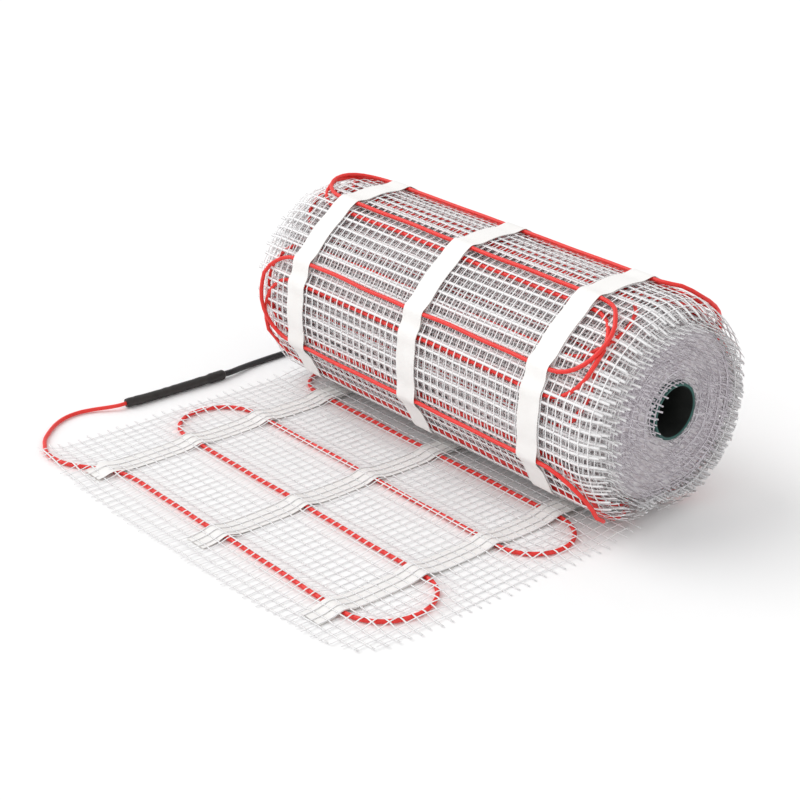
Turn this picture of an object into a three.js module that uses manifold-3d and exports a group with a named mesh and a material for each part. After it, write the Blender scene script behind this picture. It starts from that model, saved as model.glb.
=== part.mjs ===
// Underfloor heating mat: a glass-fibre mesh with a red heating cable held between strips of
// white tape, wound on a plastic core, with its free end pulled out flat in front of the roll.
// Millimetres, +Z up. The roll lies along X and the free end points towards -Y.
import * as THREE from "three";
import { mergeVertices } from "three/addons/utils/BufferGeometryUtils.js";
import Module from "manifold-3d";

const wasm = await Module();
wasm.setup();

// Mat
const matWidth = 488;
const tailLength = 378.5;
const freeEdgeBow = 9;
const cornerRadius = 50;
const meshThickness = 1.4;

// Roll
const rollRadius = 113;
const flatHalfAngle = 23;
const riseLength = 15;
const rollSides = 44;
const turnsShown = 10;
const turnRelief = 3;
const telescope = 4;
const shoulderLength = 28;
const shoulderDrop = 8.5;
const shoulderSteps = 4;

// Core tube: the slack turns sag, so it sits above and behind the middle of the wound mesh
const coreBore = 50;
const coreWall = 3;
const coreLength = 488;
const coreShift = 3.5;
const coreBack = 3.7;
const coreRise = 5;

// Tape strips
const tapeWidth = 25.5;
const tapeMargin = 74;
const tapePitch = matWidth / 2 - tapeMargin;
const middleTapeStray = 2.5;
const tapeThickness = 0.3;
const tapeInset = 14;

// Heating cable: even runs across the mat, each laid a little off its even place by hand
const cableDiameter = 4.2;
const cablePitch = 90;
const firstRun = 41.5;
const runStrays = [0, 4, 2, -4, 2, 9, 16, 23, 4, -4, -2];
const loopReach = 42;
const loopSteps = 8;
const cableSides = 8;
const nipAngle = 322;
const tapeEndAngle = 331;

// Clearances
const layerGap = 0.3;
const fitGap = 0.3;

// Splice and cold lead
const spliceDiameter = 9.6;
const spliceCollarDiameter = 11;
const spliceLength = 126;
const leadDiameter = 6.5;
const coilTurnDiameter = 78;
const coilWidth = 26;
const coilHeight = 20;

// Offsets of the layers below the mesh, counted away from the roll's axis
const backingNear = layerGap;
const backingFar = backingNear + tapeThickness;
const cableNear = backingFar + layerGap;
const cableMiddle = cableNear + cableDiameter / 2;
const coverFar = cableNear + cableDiameter + layerGap + tapeThickness;
const meshLevel = coverFar;
const tapeSag = meshLevel - (tapeThickness + layerGap) - backingFar;
const meshLift = 14;
const crownHalf = 3;

// The tail is level a little past each tape's edge, and then steps down to the floor in the
// bays between the tapes, or up to the level of the cable's loops outside them
const tapeLedge = 1;
const bayStep = 4;
const loopStep = 12;
const loopMargin = 2;

// Half widths of the cover tape's bump over a run on the roll, at its top and at its foot
const bumpTopHalf = 1.6;
const bumpFootHalf = 8;

// Lengths closer than this are taken as one
const sameLength = 1e-6;
const leastStation = 0.5;

const cableRuns = runStrays.map((stray, i) => firstRun + i * cablePitch + stray);
const tailRuns = cableRuns.filter((run) => run < tailLength);
const tapeCentres = [-tapePitch, middleTapeStray, tapePitch];
const leftTapeEdge = tapeCentres[0] - tapeWidth / 2;
const rightTapeEdge = tapeCentres[2] + tapeWidth / 2;
const coreRadius = coreBore / 2 + coreWall;

const materials = {
  mesh: new THREE.MeshStandardMaterial({ color: 0xf3f1f1, roughness: 0.6, metalness: 0 }),
  core: new THREE.MeshStandardMaterial({ color: 0x0c4a3c, roughness: 0.45, metalness: 0 }),
  tape: new THREE.MeshStandardMaterial({ color: 0xf4f1ee, roughness: 0.55, metalness: 0 }),
  cable: new THREE.MeshStandardMaterial({ color: 0xd8201c, roughness: 0.4, metalness: 0 }),
  sleeve: new THREE.MeshStandardMaterial({ color: 0x16130f, roughness: 0.6, metalness: 0 }),
  lead: new THREE.MeshStandardMaterial({ color: 0x0c0c0d, roughness: 0.5, metalness: 0 }),
};

const assembly = new THREE.Group();

function addPiece(name, geometry, material) {
  const mesh = new THREE.Mesh(geometry, material);
  mesh.name = name;
  assembly.add(mesh);
  return mesh;
}

// Axes swapped in a ring: the geometry's X, Y and Z become the part's Y, Z and X
const sectionToPart = new THREE.Matrix4().makeBasis(
  new THREE.Vector3(0, 1, 0),
  new THREE.Vector3(0, 0, 1),
  new THREE.Vector3(1, 0, 0),
);

// Axes swapped in the other ring: a lathe's axis Y becomes the part's X
const latheToPart = new THREE.Matrix4().makeBasis(
  new THREE.Vector3(0, 0, 1),
  new THREE.Vector3(1, 0, 0),
  new THREE.Vector3(0, 1, 0),
);

function toSolid(geometry) {
  const bare = geometry.clone();
  bare.deleteAttribute("normal");
  bare.deleteAttribute("uv");
  const merged = mergeVertices(bare, 1e-4);
  return new wasm.Manifold(
    new wasm.Mesh({
      numProp: 3,
      vertProperties: new Float32Array(merged.attributes.position.array),
      triVerts: new Uint32Array(merged.index.array),
    }),
  );
}

function toGeometry(solid) {
  const { vertProperties, triVerts } = solid.getMesh();
  const geometry = new THREE.BufferGeometry();
  geometry.setAttribute("position", new THREE.BufferAttribute(new Float32Array(vertProperties), 3));
  geometry.setIndex(new THREE.BufferAttribute(new Uint32Array(triVerts), 1));
  geometry.computeVertexNormals();
  return geometry;
}

// The mesh's outer face in the plane across the roll: the flat tail, the flat that the roll
// rests on, and then the sides of the roll from there round its back, top and front
const axisHeight = meshLevel + rollRadius * Math.cos(THREE.MathUtils.degToRad(flatHalfAngle));
const sideAngle = 360 / rollSides;
const sideLength = 2 * rollRadius * Math.sin(THREE.MathUtils.degToRad(sideAngle / 2));
const kink = flatCorner();
const facePath = [[-tailLength, meshLevel], kink.point];
for (let side = kink.side + 1; side < rollSides; side++) {
  facePath.push(cornerOfRoll(side));
}
const faceLengths = [0];
for (let i = 1; i < facePath.length; i++) {
  faceLengths.push(faceLengths[i - 1] + distance(facePath[i - 1], facePath[i]));
}

function distance([ay, az], [by, bz]) {
  return Math.hypot(by - ay, bz - az);
}

function cornerOfRoll(side) {
  const angle = THREE.MathUtils.degToRad(side * sideAngle);
  return [rollRadius * Math.sin(angle), axisHeight - rollRadius * Math.cos(angle)];
}

// Where the flat under the roll meets the roll's side at the back
function flatCorner() {
  const side = Math.floor(flatHalfAngle / sideAngle);
  const [y0, z0] = cornerOfRoll(side);
  const [y1, z1] = cornerOfRoll(side + 1);
  const share = (meshLevel - z0) / (z1 - z0);
  return { side, share, point: [y0 + share * (y1 - y0), meshLevel] };
}

// Length along the mat from its free end to an angle round the roll, counted from straight
// down by way of the back
function alongAt(degrees) {
  const sides = degrees / sideAngle - kink.side - kink.share;
  return faceLengths[1] + sides * sideLength;
}

// Where a point of the mat lies: `along` is the length from the free end, and `depth` the
// offset out from the mesh's outer face
function placeOnMat(along, depth) {
  const last = facePath.length - 2;
  const found = faceLengths.findIndex((length) => length > along + sameLength) - 1;
  const i = found < -1 ? last : Math.max(found, 0);
  const share = (along - faceLengths[i]) / (faceLengths[i + 1] - faceLengths[i]);
  const [y0, z0] = facePath[i];
  const [y1, z1] = facePath[i + 1];
  let [normalY, normalZ] = sideNormal(i);
  const atCorner = Math.abs(along - faceLengths[i]) < sameLength;
  if (atCorner && i > 0) {
    const [beforeY, beforeZ] = sideNormal(i - 1);
    const stretch = 1 + normalY * beforeY + normalZ * beforeZ;
    normalY = (normalY + beforeY) / stretch;
    normalZ = (normalZ + beforeZ) / stretch;
  }
  return [y0 + share * (y1 - y0) + depth * normalY, z0 + share * (z1 - z0) + depth * normalZ];
}

// Unit normal of one side of the face path, pointing away from the mesh
function sideNormal(i) {
  const [y0, z0] = facePath[i];
  const [y1, z1] = facePath[i + 1];
  const length = distance(facePath[i], facePath[i + 1]);
  return [(z1 - z0) / length, -(y1 - y0) / length];
}

// Length along the mat where the tail comes up to meet the roll, and where it ends inside it
const rollStart = tailLength - kink.point[0] - riseLength;
const rollEnd = tailLength - kink.point[0] / 2;

// How far the tail is lifted by the nearest cable run or by the roll: 1 over a run, 0 between
// runs. In front of its first run the free end comes down to the floor, but over the cable's
// lead-in it stays up to its edge.
function liftAt(along, overLeadIn) {
  if (overLeadIn && along < tailRuns[0]) {
    return 1;
  }
  return Math.max(liftOverRun(along), liftToRoll(along));
}

// The side edges lie on the floor beyond the cable's loops. The left one stays up over the
// cable's lead-in.
function liftAtEdge(along, overLeadIn) {
  if (overLeadIn && along < tailRuns[0] - crownHalf) {
    return 1;
  }
  return liftToRoll(along);
}

function liftOverRun(along) {
  const away = Math.min(...tailRuns.map((run) => Math.abs(along - run)));
  return 1 - THREE.MathUtils.clamp((away - crownHalf) / (meshLift - crownHalf), 0, 1);
}

function liftToRoll(along) {
  return 1 - THREE.MathUtils.clamp((rollStart - along) / meshLift, 0, 1);
}

// Stations along the mat where a layer bends, between two lengths from the free end. The
// corners of the face path are always among them.
function stationsBetween(from, to, bends) {
  const corners = faceLengths.slice(1);
  const clear = bends.filter((bend) => corners.every((corner) => Math.abs(corner - bend) > leastStation));
  const stations = [from, to, ...corners, ...clear];
  return stations.filter((along) => along >= from && along <= to).sort((a, b) => a - b);
}

const liftBends = tailRuns
  .flatMap((run) => [run - meshLift, run - crownHalf, run + crownHalf, run + meshLift])
  .concat([rollStart - meshLift, rollStart])
  .filter((along) => along <= rollStart)
  .sort((a, b) => a - b)
  .filter((along, i, all) => i === 0 || along > all[i - 1] + leastStation);

function extrudeAlongX(outline, fromX, toX) {
  const shape = new THREE.Shape(outline.map(([y, z]) => new THREE.Vector2(y, z)));
  const geometry = new THREE.ExtrudeGeometry(shape, { depth: toX - fromX, bevelEnabled: false });
  return geometry.applyMatrix4(sectionToPart).translate(fromX, 0, 0);
}

// A strip of tape with the given faces, each a function of the length from the free end
function tapeStrip(centreX, stations, nearFace, farFace) {
  const near = stations.map((along) => placeOnMat(along, nearFace(along)));
  const far = stations.map((along) => placeOnMat(along, farFace(along)));
  const outline = [...far, ...near.reverse()];
  return extrudeAlongX(outline, centreX - tapeWidth / 2, centreX + tapeWidth / 2);
}

// Backing tape, between the mesh and the cable: it sags with the mesh on the tail
function backingTape(centreX) {
  const overLeadIn = centreX < leadInEnd;
  const stations = stationsBetween(tapeInset, alongAt(tapeEndAngle), liftBends);
  const sag = (along) => (along < tailLength ? tapeSag * (1 - liftAt(along, overLeadIn)) : 0);
  return tapeStrip(
    centreX,
    stations,
    (along) => backingNear + sag(along),
    (along) => backingFar + sag(along),
  );
}

// Cover tape, over the cable: flat on the floor under the tail, and stepping over each run on
// the roll
function coverTape(centreX) {
  const lastFlat = alongAt(flatHalfAngle + sideAngle);
  const rollRuns = cableRuns.filter((run) => run > lastFlat);
  const bends = rollRuns.flatMap((run) => [
    run - bumpFootHalf,
    run - bumpTopHalf,
    run + bumpTopHalf,
    run + bumpFootHalf,
  ]);
  const onCable = (along) => {
    if (along <= lastFlat) {
      return 1;
    }
    const fromFlat = along - lastFlat + bumpTopHalf;
    const away = Math.min(fromFlat, ...rollRuns.map((run) => Math.abs(along - run)));
    return 1 - THREE.MathUtils.clamp((away - bumpTopHalf) / (bumpFootHalf - bumpTopHalf), 0, 1);
  };
  const lift = cableDiameter + layerGap;
  bends.push(lastFlat + bumpFootHalf);
  const stations = stationsBetween(tapeInset, alongAt(tapeEndAngle), bends);
  return tapeStrip(
    centreX,
    stations,
    (along) => cableNear + lift * onCable(along),
    (along) => cableNear + lift * onCable(along) + tapeThickness,
  );
}

// The mesh's tail: one sheet lofted through sections along X. It is lifted by the cable runs,
// touches the floor in the bays between the tapes, stays up over the cable's loops, and comes
// down to the floor again at its side edges.
function tailSheet() {
  const start = -freeEdgeBow - meshThickness;
  const stations = [start, ...liftBends, rollEnd];
  const [leftTape, middleTape, rightTape] = tapeCentres;
  const halfLedge = tapeWidth / 2 + tapeLedge;
  const overTape = tapeSag;
  const inBay = meshLevel;
  const pastLoops = loopReach + cableDiameter / 2 + loopMargin;
  const sections = [
    [-matWidth / 2 - 1, inBay, liftAtEdge],
    [leftTapeEdge - pastLoops, 0],
    [leftTape - halfLedge - loopStep, 0],
    [leftTape - halfLedge, overTape],
    [leftTape + halfLedge, overTape],
    [leftTape + halfLedge + bayStep, inBay],
    [middleTape - halfLedge - bayStep, inBay],
    [middleTape - halfLedge, overTape],
    [middleTape + halfLedge, overTape],
    [middleTape + halfLedge + bayStep, inBay],
    [rightTape - halfLedge - bayStep, inBay],
    [rightTape - halfLedge, overTape],
    [rightTape + halfLedge, overTape],
    [rightTape + halfLedge + loopStep, 0],
    [rightTapeEdge + pastLoops, 0],
    [matWidth / 2 + 1, inBay, liftAtEdge],
  ];
  const rings = sections.map(([x, sag, lift = liftAt]) => {
    const level = (along) => sheetLevel(along, sag * (1 - lift(along, x < leadInEnd)));
    const under = stations.map((along) => [x, along - tailLength, level(along)]);
    const over = under.map(([px, y, z]) => [px, y, z + meshThickness]).reverse();
    return [...under, ...over];
  });
  return loft(rings).intersect(toSolid(tailPlan()));
}

// Level of the sheet's lower face. Its last stretch rises into the roll.
function sheetLevel(along, sag) {
  if (along > rollStart) {
    return meshLevel + meshThickness;
  }
  return meshLevel - sag;
}

// Closed solid through rings of as many points, each a thin strip's outline with its lower
// points first and its upper points after them in the other order
function loft(rings) {
  const count = rings[0].length;
  const positions = rings.flat(2);
  const triangles = [];
  for (let ring = 0; ring < rings.length - 1; ring++) {
    for (let i = 0; i < count; i++) {
      const a = ring * count + i;
      const b = ring * count + ((i + 1) % count);
      triangles.push(a, b, a + count, b, b + count, a + count);
    }
  }
  const last = (rings.length - 1) * count;
  for (let i = 0; i < count / 2 - 1; i++) {
    const across = count - 1 - i;
    triangles.push(i, across, i + 1, i + 1, across, across - 1);
    triangles.push(last + i, last + i + 1, last + across);
    triangles.push(last + i + 1, last + across - 1, last + across);
  }
  const geometry = new THREE.BufferGeometry();
  geometry.setAttribute("position", new THREE.Float32BufferAttribute(positions, 3));
  geometry.setIndex(triangles);
  return toSolid(geometry);
}

// Plan of the tail: the free edge bows out, and its right corner is cut round
function tailPlan() {
  const halfWidth = matWidth / 2;
  const front = -tailLength;
  const atRoll = rollStart - tailLength;
  const taper = 2 * turnRelief;
  const cornerX = halfWidth - cornerRadius;
  const bulge = cornerRadius / 8;
  const plan = new THREE.Shape();
  plan.moveTo(taper - halfWidth, 0);
  plan.lineTo(-halfWidth, atRoll);
  plan.lineTo(-halfWidth, front);
  plan.quadraticCurveTo(-cornerRadius / 2, front - 2 * freeEdgeBow, cornerX, front);
  plan.quadraticCurveTo(halfWidth - bulge, front + bulge, halfWidth, front + cornerRadius);
  plan.lineTo(halfWidth, atRoll);
  plan.lineTo(halfWidth - taper, 0);
  const height = 2 * meshLevel + 2 * meshThickness;
  return new THREE.ExtrudeGeometry(plan, {
    depth: height,
    bevelEnabled: false,
    curveSegments: 8,
  }).translate(0, 0, -meshLevel);
}

// The wound mesh: one turned ring whose ends show the turns, each turn a shallow ridge, with
// the inner turns pushed a little towards +X. The outer turns bend in at both ends as a round
// shoulder. The core's hole is cut through the ring off its middle.
function woundMesh() {
  const hole = coreRadius + fitGap;
  const inner = hole - Math.hypot(coreBack, coreRise) - 1;
  const outer = rollRadius - shoulderDrop;
  const step = (outer - inner) / turnsShown;
  const shiftAt = (radius) => (telescope * (rollRadius - radius)) / (rollRadius - inner);
  const crestShare = 0.6;
  const ridges = [];
  for (let turn = 0; turn < turnsShown; turn++) {
    const root = inner + turn * step;
    ridges.push([root, turnRelief], [root + crestShare * step, 0]);
  }
  for (let i = shoulderSteps; i >= 0; i--) {
    const share = i / shoulderSteps;
    ridges.push([rollRadius - shoulderDrop * share ** 2, turnRelief / 3 + shoulderLength * (1 - share)]);
  }
  const rightEnd = ridges.map(([radius, set]) => [radius, matWidth / 2 - set + shiftAt(radius)]);
  const leftEnd = ridges.map(([radius, set]) => [radius, -matWidth / 2 + set + shiftAt(radius)]);
  const profile = [...leftEnd, ...rightEnd.reverse(), leftEnd[0]];
  const points = profile.map(([radius, x]) => new THREE.Vector2(radius, x));
  const ring = new THREE.LatheGeometry(points, rollSides);
  const turned = toSolid(ring.applyMatrix4(latheToPart).translate(0, 0, axisHeight));
  const ground = new THREE.BoxGeometry(2 * matWidth, 2 * rollRadius, rollRadius);
  const drill = new THREE.CylinderGeometry(hole, hole, 2 * matWidth, rollSides);
  drill.applyMatrix4(latheToPart).translate(0, coreBack, axisHeight + coreRise);
  return turned
    .subtract(toSolid(ground.translate(0, 0, meshLevel - rollRadius / 2)))
    .subtract(toSolid(drill));
}

function coreTube() {
  const left = coreShift - coreLength / 2;
  const right = coreShift + coreLength / 2;
  const corners = [
    [coreBore / 2, left],
    [coreRadius, left],
    [coreRadius, right],
    [coreBore / 2, right],
    [coreBore / 2, left],
  ];
  const points = corners.map(([radius, x]) => new THREE.Vector2(radius, x));
  const tube = new THREE.LatheGeometry(points, rollSides);
  return tube.applyMatrix4(latheToPart).translate(0, coreBack, axisHeight + coreRise);
}

// A path that goes straight from each of its stations to the next
class StationPath extends THREE.Curve {
  constructor(stations) {
    super();
    this.stations = stations;
  }

  getPoint(t, target = new THREE.Vector3()) {
    const place = t * (this.stations.length - 1);
    const i = Math.min(Math.floor(place), this.stations.length - 2);
    return target.lerpVectors(this.stations[i], this.stations[i + 1], place - i);
  }

  getPointAt(u, target) {
    return this.getPoint(u, target);
  }

  getTangentAt(u, target = new THREE.Vector3()) {
    const i = Math.round(u * (this.stations.length - 1));
    const before = this.stations[Math.max(i - 1, 0)];
    const after = this.stations[Math.min(i + 1, this.stations.length - 1)];
    return target.subVectors(after, before).normalize();
  }
}

function tubeThrough(stations, diameter) {
  const section = new THREE.Shape();
  for (let side = 0; side < cableSides; side++) {
    const angle = (2 * Math.PI * side) / cableSides;
    const x = (diameter / 2) * Math.cos(angle);
    const y = (diameter / 2) * Math.sin(angle);
    if (side === 0) {
      section.moveTo(x, y);
    } else {
      section.lineTo(x, y);
    }
  }
  return new THREE.ExtrudeGeometry(section, {
    steps: stations.length - 1,
    extrudePath: new StationPath(stations),
    bevelEnabled: false,
  });
}

// Stations of a smooth curve through hand-chosen points
function smoothStations(points, steps) {
  const curve = new THREE.CatmullRomCurve3(
    points.map((point) => new THREE.Vector3(...point)),
    false,
    "centripetal",
  );
  return curve.getSpacedPoints(steps);
}

// The cable's level on the tail
const cableZ = meshLevel - cableMiddle;

// Where the first run leaves its straight line and bends out from under the mat's left edge
const cableLeadIn = [
  [-250, -368.8, cableZ],
  [-238, -373.5, cableZ],
  [-221, -374, cableZ],
  [-203, -369.5, cableZ],
  [-181, -355, cableZ],
  [-160, -341.5, cableZ],
  [-137, firstRun - tailLength, cableZ],
];
const leadInEnd = cableLeadIn.at(-1)[0];

// Angles at which a loop between two runs has its stations: even steps, and the corners of
// the face path that it crosses clear of its ends
function loopAngles(run, next) {
  const mostCosine = 0.98;
  const leastStep = 0.01;
  const angles = [];
  for (let step = 1; step < loopSteps; step++) {
    angles.push((Math.PI * step) / loopSteps);
  }
  for (const corner of faceLengths.slice(1)) {
    const cosine = (run + next - 2 * corner) / (next - run);
    if (Math.abs(cosine) < mostCosine) {
      angles.push(Math.acos(cosine));
    }
  }
  angles.sort((a, b) => a - b);
  return angles.filter((angle, i) => i === 0 || angle > angles[i - 1] + leastStep);
}

// Heating cable: a serpentine of straight runs and round loops, under the tail and on the
// outermost turn of the roll. It goes on inside the roll past the nip.
function heatingCable() {
  const stations = smoothStations(cableLeadIn, 14);
  const onMat = (x, along) => new THREE.Vector3(x, ...placeOnMat(along, cableMiddle));
  cableRuns.forEach((run, i) => {
    const toRight = i % 2 === 0;
    const startX = toRight ? leftTapeEdge : rightTapeEdge;
    const endX = toRight ? rightTapeEdge : leftTapeEdge;
    if (i > 0) {
      stations.push(onMat(startX, run));
    }
    stations.push(onMat(endX, run));
    const next = cableRuns[i + 1] ?? run + cablePitch;
    const reach = toRight ? loopReach : -loopReach;
    for (const angle of loopAngles(run, next)) {
      const along = (run + next) / 2 - ((next - run) / 2) * Math.cos(angle);
      if (along < alongAt(nipAngle)) {
        stations.push(onMat(endX + reach * Math.sin(angle), along));
      }
    }
  });
  return tubeThrough(stations, cableDiameter);
}

// Free end of the heating cable: a loop on the floor from the mat's edge to the splice
const feedZ = cableZ;
const spliceZ = spliceCollarDiameter / 2;
const spliceStart = new THREE.Vector3(-283.2, -250, spliceZ);
const spliceLean = THREE.MathUtils.degToRad(-1.5);
const straightEnd = 9;
const spliceAxis = new THREE.Vector3(-Math.sin(spliceLean), Math.cos(spliceLean), 0);
const onSplice = (offset) => spliceStart.clone().addScaledVector(spliceAxis, offset).toArray();
const feedRoute = [
  [-250.4, -368.6, feedZ],
  [-265.5, -359.5, feedZ],
  [-279.5, -345.5, feedZ],
  [-290.8, -330.5, feedZ],
  [-298, -314.5, feedZ],
  [-299.7, -298, feedZ],
  [-295.8, -282.5, feedZ + 0.4],
  [-288.6, -269, feedZ + 1.6],
  onSplice(-straightEnd),
  onSplice(-fitGap),
];

// Cold lead: from the splice past the roll's left end, then behind the roll to its coil
const leadZ = leadDiameter / 2 + 0.1;
const coilMean = coilTurnDiameter / 2;
const coilOuter = coilMean + coilWidth / 2;
const coilCentre = [-180, 188];
const leadRoute = [
  onSplice(spliceLength + fitGap),
  onSplice(spliceLength + straightEnd),
  [-283, -99, spliceZ - 0.8],
  [-286.8, -74, leadZ + 0.2],
  [-288.2, -43, leadZ],
  [-289, 0, leadZ],
  [-288, 42, leadZ],
  [-282, 84, leadZ],
  [-269, 122, leadZ],
  [-251, 153, leadZ],
  [coilCentre[0] - coilOuter - leadDiameter / 2 - fitGap, coilCentre[1] - 2, leadZ],
];

// Heat-shrink sleeve over the splice, with a collar at the cold lead's end
function spliceSleeve() {
  const length = spliceLength;
  const body = spliceDiameter / 2;
  const collar = spliceCollarDiameter / 2;
  const collarLength = 18;
  const profile = [
    [0, 0],
    [body - 1, 0],
    [body, 6],
    [body, length - collarLength - 2],
    [collar, length - collarLength],
    [collar, length - 1.5],
    [collar - 1.5, length],
    [0, length],
  ];
  const points = profile.map(([radius, y]) => new THREE.Vector2(radius, y));
  const sleeve = new THREE.LatheGeometry(points, 16);
  return sleeve.rotateZ(spliceLean).translate(...spliceStart.toArray());
}

// Outer shape of the coiled rest of the cold lead
function leadCoil() {
  const inner = coilMean - coilWidth / 2;
  const corners = [
    [inner, 0],
    [coilOuter, 0],
    [coilOuter, coilHeight],
    [inner, coilHeight],
    [inner, 0],
  ];
  const points = corners.map(([radius, y]) => new THREE.Vector2(radius, y));
  const coil = new THREE.LatheGeometry(points, 32);
  coil.rotateX(Math.PI / 2);
  return coil.translate(coilCentre[0], coilCentre[1], 0);
}

addPiece("mesh_mat", toGeometry(woundMesh().add(tailSheet())), materials.mesh);
addPiece("core_tube", coreTube(), materials.core);
["left", "middle", "right"].forEach((side, i) => {
  addPiece(`backing_tape_${side}`, backingTape(tapeCentres[i]), materials.tape);
  addPiece(`cover_tape_${side}`, coverTape(tapeCentres[i]), materials.tape);
});
addPiece("heating_cable", heatingCable(), materials.cable);

// The origin stands under the middle of the mat, cords left aside
const matBox = new THREE.Box3().setFromObject(assembly);
const matCentre = matBox.getCenter(new THREE.Vector3());
assembly.position.set(-matCentre.x, -matCentre.y, -matBox.min.z);

addPiece("feed_cable", tubeThrough(smoothStations(feedRoute, 22), cableDiameter), materials.cable);
addPiece("splice_sleeve", spliceSleeve(), materials.sleeve);
addPiece("cold_lead", tubeThrough(smoothStations(leadRoute, 26), leadDiameter), materials.lead);
addPiece("cold_lead_coil", leadCoil(), materials.lead);

export default assembly;
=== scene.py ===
# Underfloor heating mat: the looks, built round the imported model.
# Lengths are in millimetres in the mat's own frame (x along the roll, y from the roll's axis,
# z up from the floor) and are turned into the model's metres where a mesh is made.
import math

import bpy
import numpy as np
from mathutils import Matrix, Vector


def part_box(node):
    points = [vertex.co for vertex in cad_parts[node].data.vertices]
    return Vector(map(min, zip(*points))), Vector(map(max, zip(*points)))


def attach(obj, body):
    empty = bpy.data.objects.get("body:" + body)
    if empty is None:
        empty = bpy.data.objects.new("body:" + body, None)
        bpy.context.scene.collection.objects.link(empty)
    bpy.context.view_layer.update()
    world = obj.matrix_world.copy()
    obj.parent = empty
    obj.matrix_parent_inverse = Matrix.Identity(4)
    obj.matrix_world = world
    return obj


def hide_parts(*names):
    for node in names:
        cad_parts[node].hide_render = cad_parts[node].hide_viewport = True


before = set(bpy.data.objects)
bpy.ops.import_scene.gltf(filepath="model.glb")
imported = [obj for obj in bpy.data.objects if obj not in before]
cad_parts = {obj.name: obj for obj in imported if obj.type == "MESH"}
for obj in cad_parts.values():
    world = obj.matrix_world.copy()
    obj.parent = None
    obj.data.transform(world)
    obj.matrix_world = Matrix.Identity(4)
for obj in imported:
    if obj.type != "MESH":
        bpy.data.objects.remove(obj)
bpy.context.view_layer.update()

MM = 0.001

# The core lies a little off the roll's axis, and places the mat's own frame in the model's
CORE_BACK = 3.7
CORE_SHIFT = 3.5
core_low, core_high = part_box("core_tube")
core_middle = (core_low + core_high) / 2 / MM
SHIFT = np.array([core_middle.x - CORE_SHIFT, core_middle.y - CORE_BACK, 0.0])

# Mat
MAT_WIDTH = 488
TAIL_LENGTH = 378.5
FREE_EDGE_BOW = 9
CORNER_RADIUS = 50
MESH_LEVEL = 5.7

# Mesh yarns
WARP_PITCH = 9.6
WARP_COUNT = 51
WEFT_PITCH = 11.5
WARP_HALF_WIDTH = 0.85
WEFT_HALF_WIDTH = 1.0
WOUND_WEFT_HALF_WIDTH = 1.55
YARN_HALF_HEIGHT = 0.3
WEFT_DEPTH = -0.75
WARP_DEPTH = -0.45

# Roll
ROLL_RADIUS = 113.2
CORE_RADIUS = 28
BORE_RADIUS = 25.0
AXIS_HEIGHT = 109.7
CORE_RISE = core_middle.z - AXIS_HEIGHT
TURN_PITCH = 4.6
NET_TURNS = 6
SAG = 2.6
FLAT_RISE = 0.889
FLAT_SOFTNESS = 2.0
CABLE_HOLDS_HALF = 9.0

# Tapes
TAPE_WIDTH = 25.5
TAPE_CENTRES = (-170, 2.5, 170)
TAPE_THICKNESS = 0.3
TAPE_INSET = 14
BACKING_DEPTH = 0.45
COVER_HIGH = 5.55
COVER_LOW = 1.05

# Heating cable
CABLE_DIAMETER = 4.2
CABLE_DEPTH = 3.0
CABLE_PITCH = 90
FIRST_RUN = 41.5
RUN_STRAYS = (0, 4, 2, -4, 2, 9, 16, 23, 4, -4, -2)
LOOP_REACH = 42
LAST_LOOP_REACH = 57
NIP_ANGLE = 322

# Cord sizes
LEAD_DIAMETER = 6.5
LEAD_LENGTH = 3000
SPLICE_LENGTH = 126
COIL_CENTRE = (-180, 188)

noise = np.random.default_rng(11)


def to_frame(points):
    return (np.asarray(points, float) + SHIFT) * MM


# Materials


def new_material(name):
    material = bpy.data.materials.new(name)
    material.use_nodes = True
    nodes = material.node_tree.nodes
    links = material.node_tree.links
    return material, nodes, links, nodes["Principled BSDF"]


def noise_texture(nodes, links, scale, detail):
    place = nodes.new("ShaderNodeTexCoord")
    texture = nodes.new("ShaderNodeTexNoise")
    texture.inputs["Scale"].default_value = scale
    texture.inputs["Detail"].default_value = detail
    links.new(place.outputs["Object"], texture.inputs["Vector"])
    return texture.outputs["Fac"]


def ramp(nodes, links, factor, stops):
    node = nodes.new("ShaderNodeValToRGB")
    elements = node.color_ramp.elements
    while len(elements) < len(stops):
        elements.new(0.5)
    for element, (position, colour) in zip(elements, stops):
        element.position = position
        element.color = (*colour, 1)
    links.new(factor, node.inputs["Fac"])
    return node.outputs["Color"]


def bump(nodes, links, height, strength, distance, shader):
    node = nodes.new("ShaderNodeBump")
    node.inputs["Strength"].default_value = strength
    node.inputs["Distance"].default_value = distance
    links.new(height, node.inputs["Height"])
    links.new(node.outputs["Normal"], shader.inputs["Normal"])


SHADE_LOW = 0.3
SHADE_HIGH = 0.7
ROUGHNESS_FINENESS = 2.5
BUMP_DISTANCE = 0.0004


def surface(name, shades, roughness, noise_scale, bump_scale, bump_strength, coat=0.0, metallic=0.0):
    """A material whose colour wanders between two shades, with a fine bump of its own."""
    material, nodes, links, shader = new_material(name)
    dark, light = shades
    shade = noise_texture(nodes, links, noise_scale, 3)
    colour = ramp(nodes, links, shade, [(SHADE_LOW, dark), (SHADE_HIGH, light)])
    links.new(colour, shader.inputs["Base Color"])
    rough = noise_texture(nodes, links, noise_scale * ROUGHNESS_FINENESS, 2)
    span = nodes.new("ShaderNodeMapRange")
    span.inputs["To Min"].default_value = roughness[0]
    span.inputs["To Max"].default_value = roughness[1]
    links.new(rough, span.inputs["Value"])
    links.new(span.outputs["Result"], shader.inputs["Roughness"])
    fine = noise_texture(nodes, links, bump_scale, 4)
    bump(nodes, links, fine, bump_strength, BUMP_DISTANCE, shader)
    shader.inputs["Coat Weight"].default_value = coat
    shader.inputs["Metallic"].default_value = metallic
    return material


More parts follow.
